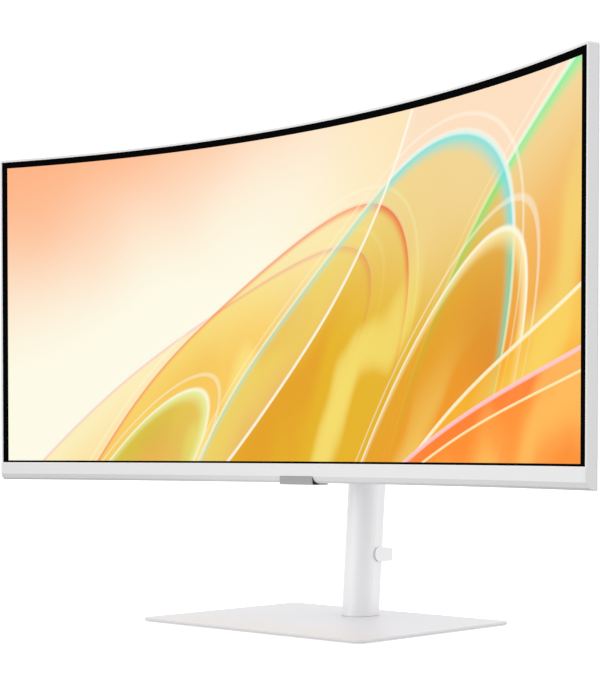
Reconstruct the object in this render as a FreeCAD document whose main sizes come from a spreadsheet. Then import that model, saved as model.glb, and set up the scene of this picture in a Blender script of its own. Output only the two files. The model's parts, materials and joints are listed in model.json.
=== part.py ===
"""Curved ultrawide computer monitor on a height-adjustable stand, as separate pieces.

Units are millimetres. The origin is the centre of the base on the desk plane: +X is the viewer's
right, the screen faces -Y and +Z is up. Head pieces are turned about the screen's vertical axis of
curvature, so their own Y is the distance from that axis and their own Z is zero at mid-screen.
"""
import FreeCAD, Part
import Sketcher
import math
import os

Vector = FreeCAD.Vector
Rotation = FreeCAD.Rotation
Placement = FreeCAD.Placement

SIZES = [
    ("curve_radius", 1000.0, "radius of the picture surface"),
    ("picture_width", 797.22, "along the curve"),
    ("picture_height", 333.72, "visible height"),
    ("screen_setback", 34.0, "picture surface ahead of the base centre, at mid-screen"),
    ("screen_level", 334.7, "mid-screen above the desk"),
    ("border_width", 7.0, "black border round the picture"),
    ("border_film", 0.2, "thickness of the black border film"),
    ("lip_width", 2.5, "front frame wall seen from the front"),
    ("lip_rise", 0.3, "lip ahead of the picture surface"),
    ("head_corner", 2.3, "rounded upper corners of the head"),
    ("chin_rise", 1.6, "chin ahead of the picture surface"),
    ("frame_depth", 9.4, "front frame and chin behind the picture surface"),
    ("parting_gap", 0.15, "open seam between two covers"),
    ("glass_depth", 1.6, "liquid crystal cell with its polarisers"),
    ("sheet_gap", 0.2, "air between two optical sheets"),
    ("diffuser_depth", 0.6, "diffuser sheet"),
    ("prism_depth", 0.4, "prism sheet"),
    ("guide_depth", 2.6, "light guide plate"),
    ("reflector_depth", 0.4, "reflector sheet"),
    ("chassis_depth", 1.2, "aluminium back of the panel"),
    ("sheet_margin", 1.5, "optical sheets beyond the picture"),
    ("glass_margin", 5.0, "glass beyond the picture"),
    ("led_height", 2.4, "light bar under the light guide"),
    ("chin_height", 22.0, "picture edge to the bottom of the head"),
    ("chin_line", 2.2, "black line between picture and chin"),
    ("chin_face", 13.0, "upright face of the chin"),
    ("chin_chamfer_drop", 4.6, "height of the chin's chamfer"),
    ("chin_chamfer_depth", 2.8, "depth of the chin's chamfer"),
    ("chin_round_depth", 4.2, "depth of the dark lower edge"),
    ("chin_bevel", 0.9, "height of the bevel along the top of the chin"),
    ("chin_corner", 1.0, "rounded ends of the chin"),
    ("chin_wall", 2.0, "wall of the chin"),
    ("chin_lap", 6.8, "thin part of the chin in front of the glass"),
    ("cover_wall", 2.2, "wall of the rear cover"),
    ("cover_edge", 0.8, "upright band of the rear cover"),
    ("cover_back", 31.0, "curved back of the rear cover behind the picture surface"),
    ("cover_floor", 28.5, "flat underside of the rear cover behind the picture surface"),
    ("cover_end_run", 78.0, "length of the sloping end along the curve"),
    ("cover_top_knee", 40.0, "height where the back starts to slope to the top edge"),
    ("hump_back", 40.0, "flat rear face behind the picture surface"),
    ("hump_root", 20.0, "root of the electronics housing ahead of the picture surface, cut away"),
    ("hump_width", 535.3, "housing at its root"),
    ("hump_flat_width", 330.0, "flat rear face"),
    ("hump_top", 135.4, "housing at its root, above mid-screen"),
    ("hump_flat_top", 88.0, "flat rear face, above mid-screen"),
    ("hump_bottom", 174.5, "housing at its root, below mid-screen"),
    ("hump_flat_bottom", 124.0, "flat rear face, below mid-screen"),
    ("vesa_pitch", 100.0, "wall-mount hole spacing"),
    ("vesa_bore", 2.0, "radius of the M4 wall-mount nuts"),
    ("vesa_boss", 4.2, "radius of the wall-mount nuts"),
    ("pan_half", 60.0, "half side of the raised steel pan"),
    ("pan_wall", 1.5, "steel of the pan"),
    ("window_half", 43.0, "half side of the window for the stand"),
    ("bracket_gap", 8.6, "steel board bracket behind the picture surface"),
    ("bracket_sheet", 1.2, "steel of the board bracket"),
    ("bracket_half_width", 175.0, "board bracket"),
    ("bracket_top", 76.0, "board bracket above mid-screen"),
    ("bracket_bottom", 120.0, "board bracket below mid-screen"),
    ("board_depth", 1.6, "circuit boards"),
    ("board_gap", 12.6, "circuit boards behind the picture surface"),
    ("tray_left", 134.0, "port recess, towards -X"),
    ("tray_right", 122.0, "port recess, towards +X"),
    ("tray_low", 112.0, "port recess, lower edge below mid-screen"),
    ("tray_high", 84.0, "port recess, upper edge below mid-screen"),
    ("tray_floor", 26.6, "floor of the port recess behind the picture surface"),
    ("tray_wall", 1.5, "wall of the port recess"),
    ("jack_bore", 1.8, "radius of the headphone socket"),
    ("tab_width", 45.0, "silver tab under the chin"),
    ("tab_height", 8.6, "silver tab under the chin"),
    ("tab_aside", 6.0, "silver tab left of mid-screen"),
    ("tab_depth", 1.2, "silver tab"),
    ("tab_body_depth", 8.4, "black body behind the tab"),
    ("tab_foot", 9.3, "foot of the black body behind the tab"),
    ("jog_aside", 8.5, "button centre right of mid-screen"),
    ("jog_behind", 19.2, "button centre behind the picture surface"),
    ("jog_radius", 8.1, "button cap"),
    ("jog_drop", 2.2, "button below the head"),
    ("jog_hole", 9.0, "hole for the button"),
    ("base_width", 305.0, "base plate"),
    ("base_depth", 235.0, "base plate"),
    ("base_thick", 3.0, "base plate"),
    ("base_corner", 9.0, "corner radius of the base plate"),
    ("base_edge", 0.8, "rounded edge of the base plate"),
    ("foot_height", 1.0, "rubber feet"),
    ("foot_radius", 8.0, "rubber feet"),
    ("foot_inset", 24.0, "rubber feet from the edges of the base"),
    ("rake", 4.2, "lean of the column, degrees"),
    ("column_radius", 17.5, "half width of the column"),
    ("column_flat", 15.6, "flat sides of the column"),
    ("column_corner", 3.0, "rear corners of the column"),
    ("column_wall", 1.8, "column covers"),
    ("column_back", 54.1, "column centre behind the base centre, at the base"),
    ("column_top", 425.0, "top of the column above the desk"),
    ("column_seam", 0.25, "open seam under the column"),
    ("cover_seam", 0.1, "open seam between the column covers"),
    ("channel_half", 14.0, "steel channel, half width"),
    ("channel_wall", 1.6, "steel channel"),
    ("channel_front", 5.0, "steel channel ahead of the column centre"),
    ("channel_rear", 13.4, "steel channel behind the column centre"),
    ("slot_width", 15.0, "slot for the carriage arm"),
    ("slot_low", 236.0, "foot of the slot above the desk"),
    ("slot_high", 412.0, "top of the slot above the desk"),
    ("pivot_back", 64.0, "tilt pivot behind the picture surface"),
    ("pin_radius", 4.0, "tilt shaft"),
    ("pin_play", 0.05, "running clearance of shafts"),
    ("arm_radius", 11.0, "round end of the carriage arm"),
    ("arm_half", 11.0, "half width of the arm at the hinge"),
    ("ear_gap", 13.0, "inside of the hinge ears"),
    ("ear_sheet", 2.5, "hinge ears"),
    ("plate_half", 40.0, "half side of the quick-release plate"),
    ("plate_sheet", 2.5, "quick-release plate"),
    ("carriage_top", 16.0, "carriage above the pivot"),
    ("carriage_foot", 50.0, "carriage below the pivot"),
    ("carriage_half", 10.8, "half width of the carriage"),
    ("drum_radius", 6.2, "wound lift spring"),
    ("drum_half", 6.0, "half width of the lift spring"),
    ("drum_drop", 37.0, "lift spring below the pivot"),
    ("drum_pin", 2.0, "radius of the lift spring's pin"),
    ("swivel_behind", 4.2, "swivel axis behind the column centre"),
    ("flange_level", 6.3, "foot flange of the column above the desk"),
    ("flange_sheet", 3.0, "foot flange of the column"),
    ("washer_radius", 9.2, "swivel washers"),
    ("recess_radius", 17.0, "recess under the base for the captive screw"),
    ("recess_depth", 1.5, "recess under the base for the captive screw"),
    ("spindle_radius", 5.0, "swivel spindle"),
    ("clip_height", 15.2, "cable clip"),
    ("clip_level", 66.0, "cable clip above the base"),
    ("clip_reach", 14.5, "cable clip behind the column"),
    ("clip_wall", 1.8, "cable clip"),
    ("thumb_radius", 10.0, "captive screw head"),
    ("thumb_gap", 0.2, "captive screw above the underside of the base"),
    ("thumb_thick", 1.0, "captive screw head and its ring"),
    ("thumb_pin", 0.35, "radius of the ring's pin"),
    ("ring_outer", 14.5, "folding ring"),
    ("ring_inner", 11.0, "folding ring"),
]


class Dim:
    """A length with both its value and the spreadsheet expression that gives it."""

    def __init__(self, value, text):
        self.value = float(value)
        self.text = text

    def __add__(self, other):
        other = as_dim(other)
        return Dim(self.value + other.value, f"({self.text} + {other.text})")

    def __sub__(self, other):
        other = as_dim(other)
        return Dim(self.value - other.value, f"({self.text} - {other.text})")

    def __mul__(self, other):
        other = as_dim(other)
        return Dim(self.value * other.value, f"({self.text} * {other.text})")

    def __truediv__(self, other):
        other = as_dim(other)
        return Dim(self.value / other.value, f"({self.text} / {other.text})")

    def __radd__(self, other):
        return as_dim(other) + self

    def __rsub__(self, other):
        return as_dim(other) - self

    def __rmul__(self, other):
        return as_dim(other) * self

    def __neg__(self):
        return Dim(-self.value, f"(0 - {self.text})")


def as_dim(number):
    """Wrap a plain number, so that it can meet a spreadsheet length."""
    if isinstance(number, Dim):
        return number
    if number < 0:
        return Dim(number, f"(0 - {-number:.6g})")
    return Dim(number, f"{number:.6g}")


def sine(angle):
    """Sine of an angle in degrees."""
    return Dim(math.sin(math.radians(angle.value)), f"sin({angle.text})")


def cosine(angle):
    """Cosine of an angle in degrees."""
    return Dim(math.cos(math.radians(angle.value)), f"cos({angle.text})")


class SizeSheet:
    """The driving dimensions, each read as an attribute by its alias."""

    def __init__(self, document, rows):
        self.sheet = document.addObject("Spreadsheet::Sheet", "Sizes")
        self.values = {}
        for row, (alias, value, note) in enumerate(rows, 1):
            self.sheet.set(f"A{row}", alias)
            self.sheet.set(f"B{row}", str(value))
            self.sheet.setAlias(f"B{row}", alias)
            self.sheet.set(f"C{row}", note)
            self.values[alias] = value
        document.recompute()

    def __getattr__(self, alias):
        return Dim(self.values[alias], f"Sizes.{alias}")


doc = FreeCAD.newDocument("Monitor")
size = SizeSheet(doc, SIZES)
NODES = []


# ---------------------------------------------------------------- drawing helpers

def origin_plane(body, role):
    """The body's own origin plane, such as XY_Plane."""
    for feature in body.Origin.OriginFeatures:
        if feature.Role == role:
            return feature
    raise ValueError(role)


def new_body(name, head=False, y=None, z=None, leaning=False):
    """A PartDesign body that becomes the node of that name, at the head's own origin or at y, z."""
    body = doc.addObject("PartDesign::Body", name)
    body.Label = name
    if leaning:
        body.Placement = Placement(Vector(), Rotation(Vector(1, 0, 0), -size.rake.value))
    if head:
        y = -(size.screen_setback + size.curve_radius)
        z = size.screen_level
    if y is not None:
        body.setExpression(".Placement.Base.y", y.text)
        body.setExpression(".Placement.Base.z", z.text)
    NODES.append(body)
    return body


def new_sketch(body, plane, level=0):
    """A sketch on one of the body's origin planes, level mm along that plane's normal."""
    count = len([item for item in body.Group if item.isDerivedFrom("Sketcher::SketchObject")])
    sketch = body.newObject("Sketcher::SketchObject", f"{body.Name}_sketch{count}")
    sketch.AttachmentSupport = [(origin_plane(body, plane), "")]
    sketch.MapMode = "FlatFace"
    level = as_dim(level)
    sketch.AttachmentOffset = Placement(Vector(0, 0, level.value), Rotation())
    if level.value:
        sketch.setExpression(".AttachmentOffset.Base.z", level.text)
    return sketch


def fix_point(sketch, geometry, end, x, y):
    """Hold one point of a sketch at x and y from the origin."""
    for kind, number in (("DistanceX", as_dim(x)), ("DistanceY", as_dim(y))):
        row = sketch.addConstraint(
            Sketcher.Constraint(kind, -1, 1, geometry, end, number.value))
        sketch.setExpression(f"Constraints[{row}]", number.text)


def draw_outline(sketch, corners):
    """Close an outline through corners. A corner is (x, y), and a line runs to the next one,
    or (x, y, centre_x, centre_y, turn), and an arc does: turn is 1 anticlockwise, -1 clockwise."""
    points = [[as_dim(number) for number in corner[:2]] for corner in corners]
    first = sketch.GeometryCount
    starts = []
    for index, corner in enumerate(corners):
        here = points[index]
        there = points[(index + 1) % len(corners)]
        here_at = Vector(here[0].value, here[1].value, 0)
        there_at = Vector(there[0].value, there[1].value, 0)
        if len(corner) == 2:
            sketch.addGeometry(Part.LineSegment(here_at, there_at))
            starts.append((1, 2))
            continue
        centre = Vector(as_dim(corner[2]).value, as_dim(corner[3]).value, 0)
        from_at, to_at = (here_at, there_at) if corner[4] > 0 else (there_at, here_at)
        angles = [math.atan2(at.y - centre.y, at.x - centre.x) for at in (from_at, to_at)]
        if angles[1] <= angles[0]:
            angles[1] += 2 * math.pi
        circle = Part.Circle(centre, Vector(0, 0, 1), (here_at - centre).Length)
        sketch.addGeometry(Part.ArcOfCircle(circle, angles[0], angles[1]))
        starts.append((1, 2) if corner[4] > 0 else (2, 1))
    for index, corner in enumerate(corners):
        here = first + index
        after = (index + 1) % len(corners)
        sketch.addConstraint(
            Sketcher.Constraint("Coincident", here, starts[index][1], first + after, starts[after][0]))
        fix_point(sketch, here, starts[index][0], points[index][0], points[index][1])
        if len(corner) == 5:
            there = points[after]
            across = abs(there[0].value - points[index][0].value)
            along = abs(there[1].value - points[index][1].value)
            kind, number = ("DistanceY", corner[3]) if across >= along else ("DistanceX", corner[2])
            number = as_dim(number)
            row = sketch.addConstraint(Sketcher.Constraint(kind, -1, 1, here, 3, number.value))
            sketch.setExpression(f"Constraints[{row}]", number.text)


def draw_box(sketch, x_low, x_high, y_low, y_high, corner=None):
    """A rectangle, with round corners if a corner radius is given."""
    if corner is None:
        draw_outline(sketch, [(x_low, y_low), (x_high, y_low), (x_high, y_high), (x_low, y_high)])
        return
    draw_outline(sketch, [
        (x_low + corner, y_low),
        (x_high - corner, y_low, x_high - corner, y_low + corner, 1),
        (x_high, y_low + corner),
        (x_high, y_high - corner, x_high - corner, y_high - corner, 1),
        (x_high - corner, y_high),
        (x_low + corner, y_high, x_low + corner, y_high - corner, 1),
        (x_low, y_high - corner),
        (x_low, y_low + corner, x_low + corner, y_low + corner, 1),
    ])


def draw_circle(sketch, x, y, radius):
    """A circle held by its centre and radius."""
    x, y, radius = as_dim(x), as_dim(y), as_dim(radius)
    circle = Part.Circle(Vector(x.value, y.value, 0), Vector(0, 0, 1), radius.value)
    index = sketch.addGeometry(circle)
    fix_point(sketch, index, 3, x, y)
    row = sketch.addConstraint(Sketcher.Constraint("Radius", index, radius.value))
    sketch.setExpression(f"Constraints[{row}]", radius.text)


# ---------------------------------------------------------------- feature helpers

def extrude(kind, body, sketch, length, midplane=False, reverse=False, lean=False):
    """Pad or pocket a sketch; with lean it follows the column's rake and length is the rise."""
    doc.recompute()
    feature = body.newObject(f"PartDesign::{kind}", f"{body.Name}_{kind.lower()}{len(body.Group)}")
    feature.Profile = sketch
    length = as_dim(length)
    feature.setExpression("Length", length.text)
    feature.Midplane = midplane
    feature.Reversed = reverse
    if lean:
        feature.UseCustomVector = True
        feature.AlongSketchNormal = True
        feature.Direction = Vector(0, math.sin(math.radians(size.rake.value)),
                                   math.cos(math.radians(size.rake.value)))
        feature.setExpression(".Direction.y", sine(size.rake).text)
        feature.setExpression(".Direction.z", cosine(size.rake).text)
    body.Tip = feature
    doc.recompute()
    return feature


def pad(body, sketch, length, **options):
    return extrude("Pad", body, sketch, length, **options)


def pocket(body, sketch, length, **options):
    """Cut a sketch out of the body, and make sure that the cut met it."""
    before = body.Shape.Volume
    feature = extrude("Pocket", body, sketch, length, **options)
    if feature.Shape.Volume > before - 1e-3:
        raise RuntimeError(f"{feature.Name} cuts nothing")
    return feature


def turn(kind, body, sketch, half_arc):
    """Revolve or groove a sketch about the body's Z axis, half_arc mm of curve to each side."""
    doc.recompute()
    before = body.Shape.Volume if kind == "Groove" else 0
    feature = body.newObject(f"PartDesign::{kind}", f"{body.Name}_{kind.lower()}{len(body.Group)}")
    feature.Profile = sketch
    feature.ReferenceAxis = (sketch, ["V_Axis"])
    feature.setExpression("Angle", (as_dim(half_arc) * 2 / size.curve_radius * 180 / math.pi).text)
    feature.Midplane = True
    body.Tip = feature
    doc.recompute()
    if kind == "Groove" and feature.Shape.Volume > before - 1e-3:
        raise RuntimeError(f"{feature.Name} cuts nothing")
    return feature


def round_edges(body, chosen, radius, kind="Fillet"):
    """Fillet or chamfer the edges of the body's tip for which chosen(edge) holds."""
    base = body.Tip
    names = [f"Edge{index}" for index, edge in enumerate(base.Shape.Edges, 1) if chosen(edge)]
    if not names:
        raise RuntimeError(f"{body.Name} has no edge to round")
    feature = body.newObject(f"PartDesign::{kind}", f"{body.Name}_{kind.lower()}{len(body.Group)}")
    feature.Base = (base, names)
    feature.setExpression("Radius" if kind == "Fillet" else "Size", as_dim(radius).text)
    body.Tip = feature
    doc.recompute()
    return feature


def arc_of(edge):
    """Distance along the curve from mid-screen to the edge's middle."""
    middle = edge.CenterOfMass
    return size.curve_radius.value * math.atan2(abs(middle.x), middle.y)


def reach_of(edge):
    """Distance of the edge's first point from the axis of curvature."""
    start = edge.Vertexes[0]
    return math.hypot(start.X, start.Y)


def repeat(body, feature, sketch, axis, length, count):
    """A linear pattern of one feature along the sketch axis."""
    pattern = body.newObject("PartDesign::LinearPattern", f"{feature.Name}_row")
    pattern.Originals = [feature]
    pattern.Direction = (sketch, [axis])
    pattern.setExpression("Length", as_dim(length).text)
    pattern.Occurrences = count
    body.Tip = pattern
    doc.recompute()
    return pattern


def behind(depth):
    """Distance from the axis of curvature of a point depth mm behind the picture surface."""
    return size.curve_radius + depth


def curved_sheet(name, front, depth, half_arc, low, high):
    """A rectangular sheet bent to the screen's curve, front and depth behind the picture."""
    body = new_body(name, head=True)
    sketch = new_sketch(body, "YZ_Plane")
    draw_box(sketch, behind(front), behind(front + depth), low, high)
    turn("Revolution", body, sketch, half_arc)
    return body


def cut_window(body, front, depth, half_arc, low, high):
    """Open a curved sheet between two heights, half_arc to each side."""
    sketch = new_sketch(body, "YZ_Plane")
    draw_box(sketch, behind(front - 1), behind(front + depth + 1), low, high)
    turn("Groove", body, sketch, half_arc)


def flat_block(name, x_low, x_high, front, back, low, high, body=None, corner=None):
    """A plain block in the head, front to back behind the picture surface."""
    body = body or new_body(name, head=True)
    sketch = new_sketch(body, "XZ_Plane", -behind(front))
    draw_box(sketch, x_low, x_high, low, high, corner)
    pad(body, sketch, as_dim(back) - front, reverse=True)
    return body


def block_group(name, blocks):
    """Separate loose blocks in one head node: (x_low, x_high, front, back, low, high)."""
    solids = [Part.makeBox(b[1] - b[0], b[3] - b[2], b[5] - b[4],
                           Vector(b[0], size.curve_radius.value + b[2], b[4])) for b in blocks]
    return shape_group(name, solids, head=True)


def shape_group(name, solids, head=False):
    """Separate solids in one node, made with Part's own functions from sheet sizes."""
    feature = doc.addObject("Part::Feature", name)
    feature.Label = name
    feature.Shape = Part.makeCompound(solids)
    if head:
        feature.Placement = Placement(
            Vector(0, -(size.screen_setback + size.curve_radius).value, size.screen_level.value),
            Rotation())
    NODES.append(feature)
    return feature


# ---------------------------------------------------------------- shared measures

half_width = size.picture_width / 2
half_height = size.picture_height / 2
inner_half = half_width + size.border_width
outer_half = inner_half + size.lip_width
head_top = half_height + size.border_width + size.lip_width
head_bottom = -(half_height + size.chin_height)
chin_top = -(half_height + size.chin_line)
face_low = chin_top - size.chin_face
glass_back = size.glass_depth
diffuser_front = glass_back + size.sheet_gap
prism_front = diffuser_front + size.diffuser_depth + size.sheet_gap
guide_front = prism_front + size.prism_depth + size.sheet_gap
reflector_front = guide_front + size.guide_depth + size.sheet_gap
chassis_front = reflector_front + size.reflector_depth + size.sheet_gap
base_top = size.foot_height + size.base_thick
pivot_y = size.pivot_back - size.screen_setback
plate_front = size.hump_back - size.cover_wall - 0.1


def column_centre(level):
    """Distance of the column's centre line behind the base centre, at a height above the desk."""
    return size.column_back + (level - base_top) * sine(size.rake) / cosine(size.rake)


# ---------------------------------------------------------------- panel stack

def make_panel():
    """The glass, its black border and the backlight sheets."""
    tuck = half_height + size.glass_margin + 1
    sheet_half = half_width + size.sheet_margin
    sheet_top = half_height + size.sheet_margin
    curved_sheet("lcd_panel", as_dim(0), size.glass_depth, half_width + size.glass_margin,
                 -tuck, half_height + size.glass_margin)
    mask = curved_sheet("border_mask", -size.border_film, size.border_film,
                        inner_half - 0.2, -tuck, half_height + size.border_width - 0.2)
    cut_window(mask, -size.border_film, size.border_film, half_width, -half_height, half_height)
    for name, front, depth in (
            ("diffuser_sheet", diffuser_front, size.diffuser_depth),
            ("prism_sheet", prism_front, size.prism_depth),
            ("light_guide", guide_front, size.guide_depth),
            ("reflector_sheet", reflector_front, size.reflector_depth)):
        curved_sheet(name, front, depth, sheet_half, -sheet_top, sheet_top)
    curved_sheet("led_bar", guide_front, size.guide_depth, sheet_half,
                 -(sheet_top + size.led_height + 0.4), -(sheet_top + 0.4))
    ring_depth = chassis_front - size.sheet_gap - diffuser_front
    ring = curved_sheet("middle_frame", diffuser_front, ring_depth, inner_half - 0.4,
                        -(sheet_top + size.led_height + 3.4), half_height + size.border_width - 0.4)
    cut_window(ring, diffuser_front, ring_depth, sheet_half + 0.4,
               -(sheet_top + size.led_height + 0.8), sheet_top + 0.4)
    curved_sheet("panel_chassis", chassis_front, size.chassis_depth, inner_half - 0.4,
                 -(sheet_top + size.led_height + 3.4), half_height + size.border_width - 0.4)


# ---------------------------------------------------------------- outer shells of the head

def chin_front():
    """The chin's front skin seen from the side, from its top edge down to the underside."""
    front = behind(-size.chin_rise)
    chamfer_back = front + size.chin_chamfer_depth
    return [
        (front + 0.5, chin_top),
        (front, chin_top - size.chin_bevel),
        (front, face_low),
        (chamfer_back, face_low - size.chin_chamfer_drop),
        (chamfer_back + size.chin_round_depth, head_bottom),
    ]


def make_front_frame():
    """Thin white lip and side wall on three sides; its two legs end in the chin's own shape."""
    body = new_body("front_frame", head=True)
    sketch = new_sketch(body, "YZ_Plane")
    back = behind(size.frame_depth)
    lip = behind(-size.lip_rise)
    draw_outline(sketch, chin_front() + [
        (back, head_bottom),
        (back, head_top),
        (lip, head_top),
        (lip, chin_top),
    ])
    turn("Revolution", body, sketch, outer_half)
    sketch = new_sketch(body, "YZ_Plane")
    draw_box(sketch, behind(-size.chin_rise - 1), back + 1,
             head_bottom - 1, head_top - size.lip_width)
    turn("Groove", body, sketch, inner_half)
    rim = outer_half.value

    def top_corner(edge):
        return edge.Length < 12 and arc_of(edge) > rim - 0.1 and edge.CenterOfMass.z > head_top.value - 0.1

    def front_rim(edge):
        outside = arc_of(edge) > rim - 0.1 or edge.CenterOfMass.z > head_top.value - 0.1
        return outside and edge.Length > 100 and reach_of(edge) < behind(0).value

    def chin_end(edge):
        low = edge.CenterOfMass.z < (chin_top - size.chin_bevel / 2).value
        return low and arc_of(edge) > rim - 0.1 and reach_of(edge) < (back - 0.1).value

    round_edges(body, top_corner, size.head_corner)
    round_edges(body, front_rim, 0.5)
    round_edges(body, chin_end, size.chin_corner)


def make_chin():
    """Lower bezel: an upright face, a chamfer and a rounded lower edge, as a bent shell."""
    front = behind(-size.chin_rise)
    chamfer_back = front + size.chin_chamfer_depth
    lap_back = front + 1.0
    lap_low = chin_top - size.chin_lap
    body = new_body("chin", head=True)
    sketch = new_sketch(body, "YZ_Plane")
    draw_outline(sketch, chin_front() + [
        (behind(size.frame_depth), head_bottom),
        (behind(size.frame_depth), head_bottom + size.chin_wall),
        (chamfer_back + size.chin_round_depth + 0.8, head_bottom + size.chin_wall),
        (chamfer_back + 1.6, face_low - size.chin_chamfer_drop + 1.2),
        (front + size.chin_wall, face_low + 0.7),
        (front + size.chin_wall, lap_low),
        (lap_back, lap_low),
        (lap_back, chin_top),
    ])
    turn("Revolution", body, sketch, inner_half - 0.1)
    notch = size.tab_width / 2 + 0.3
    sketch = new_sketch(body, "XZ_Plane", -(front - 2))
    draw_box(sketch, -size.tab_aside - notch, notch - size.tab_aside, head_bottom - 1, face_low + 0.2)
    pocket(body, sketch, size.frame_depth + size.chin_rise + 4)


def make_tab():
    """Silver tab, its black body, and nothing written on either."""
    tab_low = face_low - size.tab_height
    half = size.tab_width / 2
    front = -size.chin_rise - 0.6
    tab = flat_block("front_tab", -size.tab_aside - half, half - size.tab_aside, front,
                     front + size.tab_depth, tab_low, face_low)
    round_edges(tab, lambda edge: edge.BoundBox.XLength < 0.01 and edge.BoundBox.ZLength < 0.01, 0.6)
    front = front + size.tab_depth
    back = front + size.tab_body_depth
    body = new_body("tab_housing", head=True)
    sketch = new_sketch(body, "YZ_Plane", -size.tab_aside)
    draw_outline(sketch, [
        (behind(front), tab_low + 0.2),
        (behind(front + size.tab_foot), tab_low + 0.2),
        (behind(front + size.tab_foot), head_bottom - 0.3),
        (behind(back), head_bottom - 0.3),
        (behind(back), face_low - 0.6),
        (behind(front), face_low - 0.2),
    ])
    pad(body, sketch, (half - 0.2) * 2, midplane=True)


def cover_profile(inset):
    """Side outline of the rear cover, inset mm inside its outer skin."""
    seam = behind(size.frame_depth + size.parting_gap)
    edge_back = seam + size.cover_edge
    return [
        (seam, head_bottom + inset),
        (behind(size.cover_floor) - inset * 0.6, head_bottom + inset),
        (behind(size.cover_back) - inset, head_bottom + 7 + inset * 0.4),
        (behind(size.cover_back) - inset, size.cover_top_knee),
        (edge_back + 2 - inset, head_top - 6),
        (edge_back - inset * 0.6, head_top - inset),
        (seam, head_top - inset),
    ]


def make_rear_cover():
    """Rear shell: slim at the top and the ends, with a flat-backed housing in the middle."""
    body = new_body("rear_cover", head=True)
    sketch = new_sketch(body, "YZ_Plane")
    draw_outline(sketch, cover_profile(as_dim(0)))
    turn("Revolution", body, sketch, outer_half)
    edge = behind(size.frame_depth + size.parting_gap + size.cover_edge)
    full = behind(size.cover_back)
    outer_angle = outer_half / size.curve_radius * 180 / math.pi
    knee_angle = (outer_half - size.cover_end_run) / size.curve_radius * 180 / math.pi
    for side in (-1, 1):
        sketch = new_sketch(body, "XY_Plane", head_bottom - 1)
        draw_outline(sketch, [
            (edge * sine(outer_angle) * side, edge * cosine(outer_angle)),
            (full * sine(knee_angle) * side, full * cosine(knee_angle)),
            (full * sine(outer_angle) * side, full * cosine(knee_angle) + 30),
            ((full + 30) * sine(outer_angle) * side, edge * cosine(outer_angle)),
        ])
        pocket(body, sketch, head_top - head_bottom + 2, reverse=True)
    round_upper_corners(body)
    add_hump(body, "AdditiveWedge", as_dim(0))
    round_hump(body)
    sketch = new_sketch(body, "YZ_Plane")
    cavity = cover_profile(size.cover_wall)
    open_front = behind(-size.hump_root - 4)
    cavity[0] = (open_front, cavity[0][1])
    cavity[-1] = (open_front, cavity[-1][1])
    draw_outline(sketch, cavity)
    turn("Groove", body, sketch, outer_half - size.cover_end_run - 6)
    add_hump(body, "SubtractiveWedge", size.cover_wall)
    return body


def round_upper_corners(body):
    """Carry the front frame's two rounded upper corners on into the rear cover."""
    seam = behind(size.frame_depth + size.parting_gap)
    turned = outer_half / size.curve_radius * 180 / math.pi
    outside = seam * sine(turned)
    inside = outside - size.head_corner
    foot = head_top - size.head_corner
    sketch = new_sketch(body, "XZ_Plane", -(seam * cosine(turned) - 20))
    for side in (-1, 1):
        draw_outline(sketch, [
            ((outside + 2) * side, head_top + 1),
            (inside * side, head_top + 1),
            (inside * side, head_top, inside * side, foot, -side),
            (outside * side, foot),
            ((outside + 2) * side, foot),
        ])
    pocket(body, sketch, 40.0)


def add_hump(body, kind, inset):
    """The electronics housing, or with an inset its hollow."""
    wedge = body.newObject(f"PartDesign::{kind}", f"{body.Name}_{kind.lower()}")
    limits = {
        "Xmin": -(size.hump_width / 2) + inset,
        "Xmax": size.hump_width / 2 - inset,
        "X2min": -(size.hump_flat_width / 2) + inset,
        "X2max": size.hump_flat_width / 2 - inset,
        "Zmin": -size.hump_bottom + inset,
        "Zmax": size.hump_top - inset,
        "Z2min": -size.hump_flat_bottom + inset,
        "Z2max": size.hump_flat_top - inset,
        "Ymin": behind(-size.hump_root) - inset,
        "Ymax": behind(size.hump_back) - inset,
    }
    for name, number in limits.items():
        setattr(wedge, name, number.value)
    for name, number in limits.items():
        wedge.setExpression(name, number.text)
    body.Tip = wedge
    doc.recompute()


def round_hump(body):
    """Soften the housing's rear edges and the four corners that run down from them."""
    back = behind(size.hump_back).value

    def rear_edge(edge):
        return edge.BoundBox.YMax > back - 0.01

    round_edges(body, rear_edge, 5.0)


SCREW_SIDE = 150.0
SCREW_LEVELS = (-88.0, 76.0)


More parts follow.
